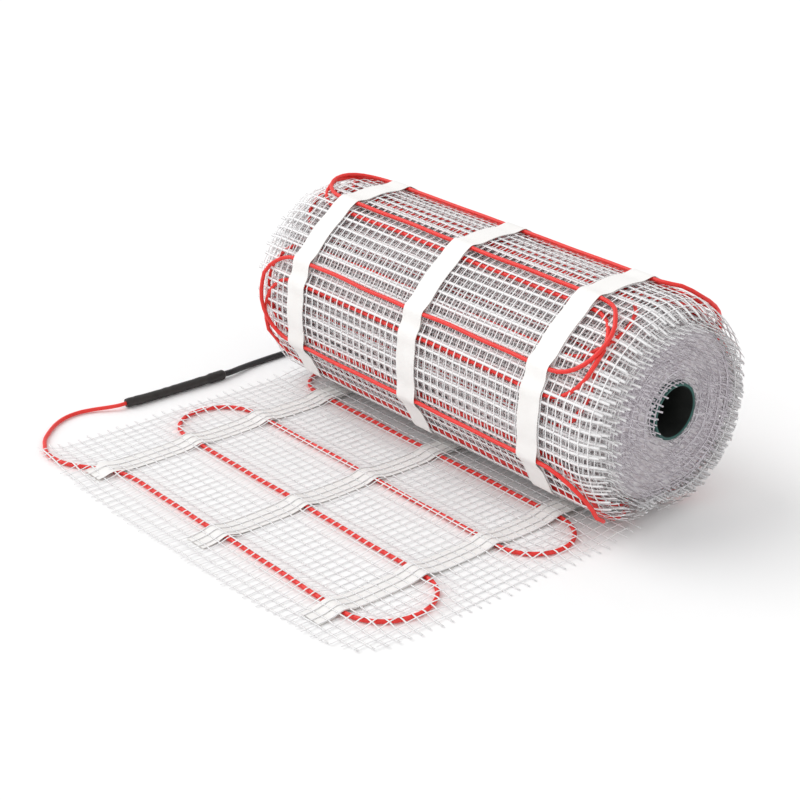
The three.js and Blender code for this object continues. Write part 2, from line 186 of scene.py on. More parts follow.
# Each finish: its two shades, its range of roughness, and the scales of its noise and bump
YARN_SHADES = ((0.93, 0.92, 0.93), (0.97, 0.965, 0.965))
# The roll's end yarns: the white yarn darkened to mauve-grey, painted shade for the unlit end of the
# roll
END_YARN_PAINTED_SHADE = ((0.68, 0.64, 0.68), (0.84, 0.80, 0.84))
# Inner turns: near white for their own yarn. A pink tint stands for the red cable's light spread through
# them (painted reflection), and darker patches for the shade in the holes between them (painted shade)
DEEP_TONES_AND_PAINTED_SHADE = ((0.62, 0.56, 0.58), (0.94, 0.92, 0.93))
TAPE_SHADES = ((0.90, 0.885, 0.865), (0.94, 0.928, 0.912))
CABLE_SHADES = ((0.78, 0.022, 0.016), (0.86, 0.03, 0.022))
LEAD_SHADES = ((0.012, 0.012, 0.013), (0.022, 0.021, 0.022))
SLEEVE_SHADES = ((0.012, 0.010, 0.010), (0.03, 0.026, 0.024))
CORE_SHADES = ((0.005, 0.062, 0.052), (0.010, 0.10, 0.084))
# Inside of the core tube: near-black in place of the tube's green, painted shade
BORE_PAINTED_SHADE = ((0.010, 0.012, 0.011), (0.022, 0.024, 0.022))
COPPER_SHADES = ((0.6, 0.26, 0.12), (0.72, 0.34, 0.18))
BLUE_SHADES = ((0.02, 0.07, 0.35), (0.03, 0.10, 0.42))
BROWN_SHADES = ((0.10, 0.035, 0.015), (0.14, 0.05, 0.02))
TIE_SHADES = ((0.70, 0.70, 0.69), (0.78, 0.78, 0.77))

mesh_yarn = surface("mesh_yarn", YARN_SHADES, (0.5, 0.7), 60, 1800, 0.35)
# Darker copy of the white yarn for the roll's ends: painted shade
end_yarn_painted_shade = surface("mesh_yarn_end_painted_shade", END_YARN_PAINTED_SHADE, (0.5, 0.7), 60, 1800, 0.35)
tape_white = surface("tape", TAPE_SHADES, (0.4, 0.55), 40, 900, 0.12)
cable_red = surface("cable_red", CABLE_SHADES, (0.38, 0.5), 50, 700, 0.1, coat=0.1)
lead_black = surface("lead_black", LEAD_SHADES, (0.36, 0.5), 60, 900, 0.15)
sleeve_black = surface("sleeve_black", SLEEVE_SHADES, (0.42, 0.62), 90, 500, 0.5)
core_green = surface("core_green", CORE_SHADES, (0.38, 0.52), 90, 600, 0.25)
bore_painted_shade = surface("bore_painted_shade", BORE_PAINTED_SHADE, (0.5, 0.65), 90, 600, 0.25)
copper = surface("copper", COPPER_SHADES, (0.25, 0.35), 80, 900, 0.1, metallic=1.0)
core_blue = surface("conductor_blue", BLUE_SHADES, (0.35, 0.45), 60, 700, 0.05)
core_brown = surface("conductor_brown", BROWN_SHADES, (0.35, 0.45), 60, 700, 0.05)
tie_white = surface("tie_white", TIE_SHADES, (0.45, 0.6), 60, 900, 0.1)
deep_turns_and_painted_shade = surface("deep_turns_and_painted_shade", DEEP_TONES_AND_PAINTED_SHADE, (0.6, 0.8), 160, 900, 0.4)


# Mesh making


class Solids:
    """Points and faces of one mesh, gathered piece by piece."""

    def __init__(self):
        self.points = []
        self.faces = []
        self.count = 0

    def sweep(self, centres, ups, half_width, half_height, section):
        """A closed bar with the given section, swept through its centres."""
        centres = np.asarray(centres, float)
        ups = np.asarray(ups, float)
        along = np.gradient(centres, axis=0)
        along /= np.linalg.norm(along, axis=1, keepdims=True)
        sides = np.cross(ups, along)
        sides /= np.linalg.norm(sides, axis=1, keepdims=True)
        ups = np.cross(along, sides)
        widths = np.broadcast_to(np.asarray(half_width, float), len(centres))[:, None, None]
        heights = np.broadcast_to(np.asarray(half_height, float), len(centres))[:, None, None]
        u = section[:, 0][None, :, None] * widths
        v = section[:, 1][None, :, None] * heights
        rings = centres[:, None, :] + sides[:, None, :] * u + ups[:, None, :] * v
        n = len(section)
        index = self.count + np.arange(len(centres) * n).reshape(-1, n)
        a = index[:-1]
        b = index[1:]
        quads = np.stack([a, np.roll(a, -1, 1), np.roll(b, -1, 1), b], axis=2).reshape(-1, 4)
        self.points.append(rings.reshape(-1, 3))
        self.faces.extend(quads.tolist())
        self.faces.append(index[0][::-1].tolist())
        self.faces.append(index[-1].tolist())
        self.count += len(centres) * n

    def closed_grid(self, rows):
        """A closed surface through rows of points, joined round both ways."""
        rows = np.asarray(rows, float)
        m, n = rows.shape[:2]
        a = self.count + np.arange(m * n).reshape(m, n)
        b = np.roll(a, -1, 0)
        quads = np.stack([a, np.roll(a, -1, 1), np.roll(b, -1, 1), b], axis=2)
        self.points.append(rows.reshape(-1, 3))
        self.faces.extend(quads.reshape(-1, 4).tolist())
        self.count += m * n

    def make(self, name, material, sharp=40):
        mesh = bpy.data.meshes.new(name)
        mesh.from_pydata(to_frame(np.concatenate(self.points)).tolist(), [], self.faces)
        mesh.polygons.foreach_set("use_smooth", [True] * len(mesh.polygons))
        if sharp:
            mesh.set_sharp_from_angle(angle=math.radians(sharp))
        mesh.materials.append(material)
        piece = bpy.data.objects.new(name, mesh)
        bpy.context.scene.collection.objects.link(piece)
        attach(piece, "root")
        return piece


def round_section(sides):
    turn = np.arange(sides) * 2 * math.pi / sides
    return np.stack([np.cos(turn), np.sin(turn)], axis=1)


LENS_SECTION = round_section(4)
THIN_SECTION = round_section(3)
CABLE_SECTION = round_section(14)
LEAD_SECTION = round_section(18)
TAPE_COLUMNS = np.linspace(1, -1, 7)
TAPE_SECTION = np.array([(u, 1) for u in TAPE_COLUMNS] + [(u, -1) for u in TAPE_COLUMNS[::-1]])


# The way the mat lies, in the plane across the roll


def smoothstep(low, high, value):
    share = np.clip((value - low) / (high - low), 0, 1)
    return share * share * (3 - 2 * share)


def ring_point(radius, degrees):
    """Point of a turn: round near the core, and flattened at the bottom by the roll's weight."""
    share = np.clip((radius - CORE_RADIUS) / (ROLL_RADIUS - CORE_RADIUS), 0, 1)
    angle = np.radians(degrees)
    y = CORE_BACK * (1 - share) + radius * np.sin(angle)
    z = AXIS_HEIGHT + CORE_RISE * (1 - share) - radius * np.cos(angle)
    floor_level = MESH_LEVEL + FLAT_RISE * (ROLL_RADIUS - radius)
    return y, floor_level + FLAT_SOFTNESS * np.logaddexp(0, (z - floor_level) / FLAT_SOFTNESS)


# Angles of the inner turns' cable runs, counted from straight down by way of the back
INNER_RUNS = {
    1: (12, 60, 108.5, 157, 205.5, 254, 312),
    2: (30, 82, 134, 186, 232.5, 288, 340),
    3: (20, 72, 123, 174.5, 223, 270, 322),
    4: (45, 100, 150, 200, 257, 305),
}


# Angles where a turn steps down to the next, and where the outer turn leaves the floor
STEP_START = 332
STEP_END = 356
LIFT_OFF = (5, 45)


def turn_radius(total):
    """Radius of the wound mat at an angle that goes on counting from turn to turn. Between the
    cable runs of the turn below, each turn sags a little."""
    turn = np.floor(total / 360)
    angle = total - 360 * turn
    radius = ROLL_RADIUS - TURN_PITCH * (turn + smoothstep(STEP_START, STEP_END, angle))
    for below, runs in INNER_RUNS.items():
        held = np.zeros_like(total)
        for run in runs:
            away = np.radians(np.abs((angle - run + 180) % 360 - 180)) * radius
            held = np.maximum(held, np.exp(-((away / CABLE_HOLDS_HALF) ** 2)))
        lying = np.where(turn == 0, smoothstep(*LIFT_OFF, angle), 1)
        radius = radius - np.where(turn == below - 1, SAG * lying * (1 - held), 0)
    return radius


TAIL_STEP = 2.0
turn_angles = np.arange(0, 360 * NET_TURNS + 1, 1.0)
turn_y, turn_z = ring_point(turn_radius(turn_angles), turn_angles)
tail_y = np.arange(-TAIL_LENGTH, turn_y[0] - 1, TAIL_STEP)
strip_y = np.concatenate([tail_y, turn_y])
strip_z = np.concatenate([np.full(len(tail_y), MESH_LEVEL), turn_z])
strip_along = np.concatenate([[0], np.cumsum(np.hypot(np.diff(strip_y), np.diff(strip_z)))])
strip_ty = np.gradient(strip_y, strip_along)
strip_tz = np.gradient(strip_z, strip_along)
strip_angle = np.concatenate([np.zeros(len(tail_y)), turn_angles])
WOUND_LENGTH = strip_along[-1]


def strip_place(along, depth):
    """y, z and outward normal of a place on the mat. Depth is the offset out from its face."""
    y = np.interp(along, strip_along, strip_y)
    z = np.interp(along, strip_along, strip_z)
    normal_y = np.interp(along, strip_along, strip_tz)
    normal_z = -np.interp(along, strip_along, strip_ty)
    return y + depth * normal_y, z + depth * normal_z, normal_y, normal_z


def along_at(total):
    """Length along the mat at an angle of the wound part."""
    return np.interp(total, strip_angle[len(tail_y) :], strip_along[len(tail_y) :])


def on_strip(x, along, depth):
    """Points and outward normals on the mat for arrays of x and along."""
    x, along, depth = np.broadcast_arrays(x, along, depth)
    y, z, normal_y, normal_z = strip_place(along, depth)
    points = np.stack([x, y, z], axis=-1)
    normals = np.stack([np.zeros_like(y), normal_y, normal_z], axis=-1)
    return points, normals


# Heating cable


def cable_runs():
    return [FIRST_RUN + i * CABLE_PITCH + stray for i, stray in enumerate(RUN_STRAYS)]


def loop_points(edge_x, reach, run, next_run, steps=14):
    """x and along of a loop between two runs, without the runs' own ends."""
    angle = np.pi * np.arange(1, steps) / steps
    x = edge_x + reach * np.sin(angle)
    along = (run + next_run) / 2 - (next_run - run) / 2 * np.cos(angle)
    return x, along


LEFT_EDGE = TAPE_CENTRES[0] - TAPE_WIDTH / 2
RIGHT_EDGE = TAPE_CENTRES[2] + TAPE_WIDTH / 2


def wandering(line, phase):
    """Small strays of a straight run, none at its ends."""
    wander = 0.5 * np.sin(line / 31 + 1.7 * phase) + 0.35 * np.sin(line / 13 + 2.9 * phase)
    return wander * (1 - (line / RIGHT_EDGE) ** 6)


def serpentine(runs, first_to_right, last_reach=LOOP_REACH):
    """x and along of straight runs joined by loops at alternate sides."""
    xs = []
    alongs = []
    for i, run in enumerate(runs):
        to_right = (i % 2 == 0) == first_to_right
        start, end = (LEFT_EDGE, RIGHT_EDGE) if to_right else (RIGHT_EDGE, LEFT_EDGE)
        line = np.linspace(start, end, 36)
        xs.append(line)
        alongs.append(run + wandering(line, i))
        last = i == len(runs) - 1
        next_run = run + CABLE_PITCH if last else runs[i + 1]
        reach = last_reach if last else LOOP_REACH
        x, along = loop_points(end, reach if to_right else -reach, run, next_run)
        xs.append(x)
        alongs.append(along)
    return np.concatenate(xs), np.concatenate(alongs)


# Where the cable's free end comes in under the mat's left edge, and then runs straight
CABLE_Z = MESH_LEVEL - CABLE_DEPTH
CABLE_LEAD_IN = (
    (-250, -368.8),
    (-238, -373.5),
    (-221, -374),
    (-203, -369.5),
    (-181, -355),
    (-160, -341.5),
    (-137, -337),
)


def catmull_rom(points, spacing):
    """A smooth curve through given points, at an even spacing."""
    points = np.asarray(points, float)
    padded = np.vstack([2 * points[0] - points[1], points, 2 * points[-1] - points[-2]])
    curve = []
    for p0, p1, p2, p3 in zip(padded, padded[1:], padded[2:], padded[3:]):
        t1 = math.sqrt(np.linalg.norm(p1 - p0))
        t2 = t1 + math.sqrt(np.linalg.norm(p2 - p1))
        t3 = t2 + math.sqrt(np.linalg.norm(p3 - p2))
        t = np.linspace(t1, t2, 24, endpoint=False)[:, None]
        a1 = (t1 - t) / t1 * p0 + t / t1 * p1
        a2 = (t2 - t) / (t2 - t1) * p1 + (t - t1) / (t2 - t1) * p2
        a3 = (t3 - t) / (t3 - t2) * p2 + (t - t2) / (t3 - t2) * p3
        b1 = (t2 - t) / t2 * a1 + t / t2 * a2
        b2 = (t3 - t) / (t3 - t1) * a2 + (t - t1) / (t3 - t1) * a3
        curve.append((t2 - t) / (t2 - t1) * b1 + (t - t1) / (t2 - t1) * b2)
    return even_steps(np.vstack([*curve, points[-1:]]), spacing)


def even_steps(curve, spacing):
    length = np.concatenate([[0], np.cumsum(np.linalg.norm(np.diff(curve, axis=0), axis=1))])
    count = max(2, int(round(length[-1] / spacing)) + 1)
    at = np.linspace(0, length[-1], count)
    return np.stack([np.interp(at, length, curve[:, k]) for k in range(3)], axis=1)


UP = np.array([0.0, 0.0, 1.0])


def tube(name, points, diameter, section, material):
    solid = Solids()
    ups = np.tile(UP, (len(points), 1))
    solid.sweep(points, ups, diameter / 2, diameter / 2, section)
    return solid.make(name, material, sharp=60)


# Cords: the cable's free end, and the cold lead with its coil

SPLICE_Z = 5.5
SPLICE_START = np.array([-283.2, -250, SPLICE_Z])
SPLICE_LEAN = math.radians(-1.5)
SPLICE_AXIS = np.array([-math.sin(SPLICE_LEAN), math.cos(SPLICE_LEAN), 0.0])
GAP = 0.3


def on_splice(offset):
    return (SPLICE_START + offset * SPLICE_AXIS).tolist()


STRAIGHT_END = 9
FEED_ROUTE = [
    (-250.4, -368.6, CABLE_Z),
    (-265.5, -359.5, CABLE_Z),
    (-279.5, -345.5, CABLE_Z),
    (-290.8, -330.5, CABLE_Z),
    (-298, -314.5, CABLE_Z),
    (-299.7, -298, CABLE_Z),
    (-295.8, -282.5, CABLE_Z + 0.4),
    (-288.6, -269, CABLE_Z + 1.6),
    on_splice(-STRAIGHT_END),
    on_splice(-GAP),
]
COIL_OUTER = 52
LEAD_Z = LEAD_DIAMETER / 2 + 0.1
LEAD_ROUTE = [
    on_splice(1.5),
    on_splice(SPLICE_LENGTH / 3),
    on_splice(SPLICE_LENGTH * 2 / 3),
    on_splice(SPLICE_LENGTH + GAP),
    on_splice(SPLICE_LENGTH + STRAIGHT_END),
    (-283, -99, SPLICE_Z - 0.8),
    (-286.8, -74, LEAD_Z + 0.2),
    (-288.2, -43, LEAD_Z),
    (-289, 0, LEAD_Z),
    (-288, 42, LEAD_Z),
    (-282, 84, LEAD_Z),
    (-269, 122, LEAD_Z),
    (-251, 153, LEAD_Z),
    (COIL_CENTRE[0] - COIL_OUTER - LEAD_DIAMETER / 2 - GAP, COIL_CENTRE[1] - 2, LEAD_Z),
]


COIL_SIDE_BY_SIDE = 4
COIL_LAYERS = 3
COIL_ENTRY = 30


def coil_turns():
    """The coiled rest of the lead: turns side by side in three layers, each turn moving on to
    the next place over part of its round."""
    outer = COIL_OUTER - LEAD_DIAMETER / 2
    radii = [outer - LEAD_DIAMETER * i for i in range(COIL_SIDE_BY_SIDE)]
    seats = []
    for layer in range(COIL_LAYERS):
        level = LEAD_Z + LEAD_DIAMETER * layer
        seats += [(r, level) for r in (radii if layer % 2 == 0 else reversed(radii))]
    points = []
    for k in range(len(seats) - 1):
        r0, z0 = seats[k]
        r1, z1 = seats[k + 1]
        for degrees in range(COIL_ENTRY if k == 0 else 0, 360, 5):
            move = smoothstep(90, 180, degrees) if r0 == r1 else smoothstep(185, 355, degrees)
            angle = math.radians(180 - degrees)
            radius = r0 + move * (r1 - r0)
            x = COIL_CENTRE[0] + radius * math.cos(angle)
            y = COIL_CENTRE[1] + radius * math.sin(angle)
            points.append((x, y, z0 + move * (z1 - z0)))
    return points


def cut_to_length(curve, length):
    total = np.concatenate([[0], np.cumsum(np.linalg.norm(np.diff(curve, axis=0), axis=1))])
    return curve[total <= length]


def build_cords():
    feed_points = catmull_rom(FEED_ROUTE, 2.0)
    feed = tube("feed_cable_loop", feed_points, CABLE_DIAMETER, CABLE_SECTION, cable_red)
    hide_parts("feed_cable")
    splice = build_splice()
    lead_points = catmull_rom(LEAD_ROUTE + coil_turns()[::2], 3.0)
    lead_points = cut_to_length(lead_points, LEAD_LENGTH)
    lead = tube("cold_lead_run", lead_points, LEAD_DIAMETER, LEAD_SECTION, lead_black)
    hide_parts("cold_lead", "cold_lead_coil")
    wires = build_lead_end(lead_points)
    ties = build_ties()


def build_splice():
    """Heat-shrink sleeve: a slim body with wrinkles and a fatter collar at the lead's end."""
    body = 4.9
    collar = 5.5
    collar_start = SPLICE_LENGTH - 22
    collar_full = SPLICE_LENGTH - 18
    mouth = 0.9
    neck = 0.72
    stations = np.linspace(0, SPLICE_LENGTH, 127)
    radius = np.full(len(stations), body)
    radius += (collar - body) * smoothstep(collar_start, collar_full, stations)
    radius *= mouth + (1 - mouth) * smoothstep(0, 3, stations)
    radius *= neck + (1 - neck) * smoothstep(0, 2.5, SPLICE_LENGTH - stations)
    wrinkle = 0.22 * np.sin(stations / 2.3 + 1.5 * np.sin(stations / 9)) * np.sin(stations / 14 + 1) ** 2
    radius += wrinkle * smoothstep(4, 12, stations)
    solid = Solids()
    centres = SPLICE_START + stations[:, None] * SPLICE_AXIS
    bow = 1.2 * np.sin(math.pi * stations / SPLICE_LENGTH)
    centres[:, 0] += bow + 0.3 * np.sin(stations / 13)
    centres[:, 2] += 0.25 * np.sin(stations / 17 + 2)
    ups = np.tile(UP, (len(stations), 1))
    solid.sweep(centres, ups, radius, radius, round_section(28))
    splice = solid.make("splice_shrink_sleeve", sleeve_black, sharp=70)
    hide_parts("splice_sleeve")
    return splice


def build_lead_end(lead_points):
    """The lead's bare end: two insulated conductors and the twisted earth wires."""
    ahead = lead_points[-1] - lead_points[-4]
    ahead = ahead / np.linalg.norm(ahead)
    side = np.cross(UP, ahead)
    inward = np.array([COIL_CENTRE[0], COIL_CENTRE[1], lead_points[-1][2]]) - lead_points[-1]
    inward = inward / np.linalg.norm(inward)
    pieces = []
    rows = (
        ("conductor_blue", -1.5, 1.35, core_blue, 30),
        ("conductor_brown", 1.5, 1.35, core_brown, 28),
        ("conductor_earth", 0.0, 0.8, copper, 32),
    )
    for name, offset, radius, material, length in rows:
        steps = np.linspace(-3, length, 18)[:, None]
        bend = inward * (steps**2 / 95)
        centres = lead_points[-1] + ahead * steps + side * offset + bend
        solid = Solids()
        ups = np.tile(UP, (len(centres), 1))
        solid.sweep(centres, ups, radius, radius, round_section(10))
        pieces.append(solid.make(name, material, sharp=60))
        if material is not copper:
            tip = centres[-1] + ahead * np.linspace(-1, 7, 5)[:, None]
            tip_radius = 0.75
            solid = Solids()
            solid.sweep(tip, np.tile(UP, (len(tip), 1)), tip_radius, tip_radius, round_section(8))
            pieces.append(solid.make(name + "_tip", copper, sharp=60))
    return pieces


def build_ties():
    """Two soft ties round the coil's section."""
    solid = Solids()
    inner = 25.6
    outer = 52.4
    low = 0.15
    high = 20.1
    corner = 2.5
    tie_half_width = 3.0
    tie_half_thickness = 0.15
    for degrees in (35, 215):
        angle = math.radians(degrees)
        radial = np.array([math.cos(angle), math.sin(angle), 0.0])
        outline = []
        corners = (
            (outer - corner, low + corner, -90),
            (outer - corner, high - corner, 0),
            (inner + corner, high - corner, 90),
            (inner + corner, low + corner, 180),
        )
        for r, z, start in corners:
            for step in range(6):
                turn = math.radians(start + step * 18)
                outline.append((r + corner * math.cos(turn), z + corner * math.sin(turn)))
        outline = np.array([*outline, outline[0]])
        centres = np.array([COIL_CENTRE[0], COIL_CENTRE[1], 0.0]) + outline[:, :1] * radial
        centres = centres + outline[:, 1:] * UP
        middle = np.array([COIL_CENTRE[0], COIL_CENTRE[1], 0.0]) + (inner + outer) / 2 * radial
        ups = centres - (middle + UP * (low + high) / 2)
        solid.sweep(centres, ups, tie_half_width, tie_half_thickness, TAPE_SECTION)
    return solid.make("coil_ties", tie_white, sharp=40)


# Camera

CAMERA_PLACE = (1159.98, -1160.40, 793.40)
CAMERA_AZIMUTH = math.radians(47.956)
CAMERA_ELEVATION = math.radians(24.790)
CAMERA_ROLL = math.radians(1.345)
CAMERA_SENSOR = 36
CAMERA_LENS = 78.77


def build_camera():
    data = bpy.data.cameras.new("camera")
    data.sensor_width = CAMERA_SENSOR
    data.lens = CAMERA_LENS
    data.clip_start = 0.05
    data.clip_end = 30
    camera = bpy.data.objects.new("camera", data)
    bpy.context.scene.collection.objects.link(camera)
    flat = math.cos(CAMERA_ELEVATION)
    back = Vector(
        (
            math.sin(CAMERA_AZIMUTH) * flat,
            -math.cos(CAMERA_AZIMUTH) * flat,
            math.sin(CAMERA_ELEVATION),
        )
    )
    level = Vector((0, 0, 1)).cross(back).normalized()
    upright = back.cross(level)
    right = math.cos(CAMERA_ROLL) * level + math.sin(CAMERA_ROLL) * upright
    top = back.cross(right)
    turn = Matrix((right, top, back)).transposed().to_4x4()
    camera.matrix_world = Matrix.Translation(Vector(to_frame(CAMERA_PLACE))) @ turn
    bpy.context.scene.camera = camera


# Cable on the mat


def build_cable():
    runs = cable_runs()
    lead_in = catmull_rom([(x, y, CABLE_Z) for x, y in CABLE_LEAD_IN], 3.0)
    xs, alongs = serpentine(runs, True, LAST_LOOP_REACH)
    first = np.argmax(xs > CABLE_LEAD_IN[-1][0] + 3)
    xs = xs[first:]
    alongs = alongs[first:]
    keep = alongs < along_at(NIP_ANGLE) + 8
    points, normals = on_strip(xs[keep], alongs[keep], CABLE_DEPTH)
    points = np.vstack([lead_in, points])
    normals = np.vstack([np.tile(-UP, (len(lead_in), 1)), normals])
    solid = Solids()
    solid.sweep(points, normals, CABLE_DIAMETER / 2, CABLE_DIAMETER / 2, CABLE_SECTION)
    cable = solid.make("heating_cable_outer", cable_red, sharp=60)
    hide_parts("heating_cable")
    return points[(points[:, 1] < -20) & (points[:, 2] < MESH_LEVEL)]


def build_inner_cables():
    """Cable between the outer turns of the roll, seen through the mesh over it."""
    for turn, angles in INNER_RUNS.items():
        runs = [float(along_at(360 * turn + angle)) for angle in angles]
        xs, alongs = serpentine(runs, turn % 2 == 1)
        keep = alongs < along_at(360 * (turn + 1) - 8)
        points, normals = on_strip(xs[keep], alongs[keep], CABLE_DEPTH)
        solid = Solids()
        solid.sweep(points, normals, CABLE_DIAMETER / 2, CABLE_DIAMETER / 2, round_section(10))
        solid.make(f"heating_cable_turn_{turn + 1}", cable_red, sharp=60)


build_camera()
build_cords()
tail_cable = build_cable()
build_inner_cables()


# Mesh of the pulled-out end


def edge_y(x):
    """Free edge of the pulled-out end, as y for a given x."""
    middle = -CORNER_RADIUS / 2
    half = MAT_WIDTH / 2 + middle
    bow = FREE_EDGE_BOW * (1 - np.clip(((x - middle) / half) ** 2, 0, 1))
    corner = np.clip((x - (MAT_WIDTH / 2 - CORNER_RADIUS)) / CORNER_RADIUS, 0, 1)
    return -TAIL_LENGTH - bow + CORNER_RADIUS * (1 - np.sqrt(1 - corner**2))


def right_edge_x(y):
    """Right edge of the pulled-out end, as x for a given y, with its rounded corner."""
    low = np.clip((CORNER_RADIUS - TAIL_LENGTH - y) / CORNER_RADIUS, 0, 1)
    return MAT_WIDTH / 2 - CORNER_RADIUS * (1 - np.sqrt(1 - low**2))


CABLE_SAMPLES = even_steps(tail_cable, 1.5)[:, :2]


SAMPLE_BLOCK = 4000
FLOOR_LEVEL = 0.35
CROWN_HEIGHT = 4.9
CROWN_NEAR = 8.5
CROWN_FAR = 19
NEAR_SHARE = 0.62
TAPE_LEVEL = 1.3
TAPE_CROWN = 4.3
TAPE_SHOULDER = 6
RISE_TO_ROLL = (-92, -48)


def tail_height(x, y):
    """Level of the mesh's lower face on the floor, over the cable and the tapes."""
    place = np.stack([x.ravel(), y.ravel()], axis=1)
    away = np.empty(len(place))
    for start in range(0, len(place), SAMPLE_BLOCK):
        block = place[start : start + SAMPLE_BLOCK]
        gaps = np.linalg.norm(block[:, None, :] - CABLE_SAMPLES[None], axis=2)
        away[start : start + SAMPLE_BLOCK] = gaps.min(axis=1)
    away = away.reshape(x.shape)
    near = np.exp(-((away / CROWN_NEAR) ** 2))
    far = np.exp(-((away / CROWN_FAR) ** 2))
    crown = NEAR_SHARE * near + (1 - NEAR_SHARE) * far
    height = FLOOR_LEVEL + CROWN_HEIGHT * crown
    for centre in TAPE_CENTRES:
        off_tape = smoothstep(TAPE_WIDTH / 2, TAPE_WIDTH / 2 + TAPE_SHOULDER, np.abs(x - centre))
        height = np.maximum(height, (1 - off_tape) * (TAPE_LEVEL + TAPE_CROWN * crown))
    height += 0.25 * (1 + np.sin(x / 37 + 0.6) * np.sin(y / 29))
    edge = smoothstep(30, 0, y - edge_y(x))
    height += edge * 0.8 * (1 + np.sin(x / 41 + 1.3))
    near_roll = smoothstep(*RISE_TO_ROLL, y)
    return height + near_roll * np.maximum(0, MESH_LEVEL - height)


warp_xs = (np.arange(WARP_COUNT) - (WARP_COUNT - 1) / 2) * WARP_PITCH


def fringe():
    return noise.uniform(3.5, 7.5)


ROLL_Y = -40.0


def build_tail_mesh():
    solid = Solids()
    for x in warp_xs:
        start = edge_y(x) - noise.uniform(1.5, 5.0)
        y = np.linspace(start, ROLL_Y, 62)
        wander = x + 0.35 * np.sin(y / 47 + x) + 0.2 * np.sin(y / 19 + 2 * x)
        z = tail_height(wander, y) + YARN_HALF_HEIGHT + 0.25
        centres = np.stack([wander, y, z], axis=1)
        ups = np.tile(UP, (len(y), 1))
        solid.sweep(centres, ups, WARP_HALF_WIDTH, YARN_HALF_HEIGHT, LENS_SECTION)
    rows = int((TAIL_LENGTH + ROLL_Y) / WEFT_PITCH) + 1
    for row in range(rows + 1):
        along = 1.5 + row * WEFT_PITCH
        left = -MAT_WIDTH / 2 - fringe()
        y_line = along - TAIL_LENGTH
        right = float(right_edge_x(y_line)) + fringe()
        x = np.linspace(left, right, 84)
        bow = edge_y(np.minimum(x, MAT_WIDTH / 2 - CORNER_RADIUS)) + TAIL_LENGTH
        y = y_line + bow * math.exp(-along / 70) + 0.3 * np.sin(x / 53 + row)
        z = tail_height(x, y) + YARN_HALF_HEIGHT
        centres = np.stack([x, y, z], axis=1)
        ups = np.tile(UP, (len(x), 1))
        solid.sweep(centres, ups, WEFT_HALF_WIDTH, YARN_HALF_HEIGHT, LENS_SECTION)
    return solid.make("mesh_tail", mesh_yarn, sharp=0)


# Mesh of the wound turns

END_SHIFT = 4
SHOULDER_AT = 216
SHOULDER_LENGTH = 28
SHOULDER_DROP = 8.5


def droop(x, turn):
    """How far the mesh of the outer turns bends in at the roll's ends, past the cable's loops."""
    past = (np.abs(x - END_SHIFT) - (SHOULDER_AT - 3 * turn)) / SHOULDER_LENGTH
    return (SHOULDER_DROP - 1.1 * turn) * np.clip(past, 0, 1.2) ** 2


TURN_SHIFT = 2.0
WARP_STEP = 7.5


def build_turn_mesh(turn):
    """One outer turn of the roll: its warp and weft yarns."""
    solid = Solids()
    section = LENS_SECTION if turn < 2 else THIN_SECTION
    start = along_at(360 * turn + (0 if turn == 0 else 1))
    end = min(along_at(360 * (turn + 1)), WOUND_LENGTH - 2)
    shift = TURN_SHIFT * turn
    for x in warp_xs:
        along = np.linspace(start, end, int((end - start) / WARP_STEP))
        line = x + shift + 0.3 * np.sin(along / 61 + x)
        points, normals = on_strip(line, along, WARP_DEPTH - droop(line, turn))
        solid.sweep(points, normals, WARP_HALF_WIDTH, YARN_HALF_HEIGHT, section)
    for row in range(int((end - start) / WEFT_PITCH)):
        along = start + (row + 0.5) * WEFT_PITCH + noise.uniform(-0.6, 0.6)
        half = MAT_WIDTH / 2
        ends = np.array([1.0, 0.75, 0.5, 0.25])
        left = shift - half - fringe() * ends
        right = shift + half + fringe() * ends[::-1]
        shoulder = np.linspace(200, half, 7)
        inner = np.concatenate([-shoulder[::-1], np.linspace(-180, 180, 19), shoulder])
        x = np.concatenate([left, inner + shift, right])
        line = along + 0.45 * np.sin(x / 43 + row * 1.3)
        points, normals = on_strip(x, line, WEFT_DEPTH - droop(x, turn))
        solid.sweep(points, normals, WOUND_WEFT_HALF_WIDTH, YARN_HALF_HEIGHT, section)
    solid.make(f"mesh_turn_{turn + 1}", mesh_yarn, sharp=0)


END_PITCH = 4.8
END_OUTER = ROLL_RADIUS - TURN_PITCH * NET_TURNS + 1
END_RINGS = 3
FRAY_DENSITY = 1.6


def edge_turn(solid, side, edge, radius, degrees, lump, phase):
    """The last warp yarns of one turn at an end of the roll."""
    turned = np.radians(degrees)
    sway = 0.8 * np.sin(turned * 5 + phase)
    for ring in range(END_RINGS):
        y, z = ring_point(radius + lump, degrees)
        centres = np.stack([edge - side * ring * WARP_PITCH + sway, y, z], axis=1)
        ups = np.stack([np.zeros(len(y)), np.sin(turned), -np.cos(turned)], axis=1)
        solid.sweep(centres, ups, WARP_HALF_WIDTH, YARN_HALF_HEIGHT, LENS_SECTION)


def frayed_ends(solid, side, edge, radius, degrees, lump):
    """The weft yarns' ends that stand out past one turn's edge."""
    count = int(2 * math.pi * radius / WEFT_PITCH * FRAY_DENSITY)
    for k in range(count):
        angle = 360 * (k + noise.uniform(-0.25, 0.25)) / count
        local = np.interp(angle % 360, degrees, lump)
        reach = np.array([-22.0, -8.0, 0.0, noise.uniform(3, 8)])
        lean = np.array([0, 0, 0, noise.uniform(-1.2, 1.2)])
        rise = np.array([0, 0, 0.3, noise.uniform(-1.5, 1.0)])
        y, z = ring_point(radius + local + rise, angle + lean)
        centres = np.stack([edge + side * reach, y, z], axis=1)
        up = np.array([0, math.sin(math.radians(angle)), -math.cos(math.radians(angle))])
        ups = np.tile(up, (len(reach), 1))
        solid.sweep(centres, ups, WARP_HALF_WIDTH, YARN_HALF_HEIGHT, LENS_SECTION)


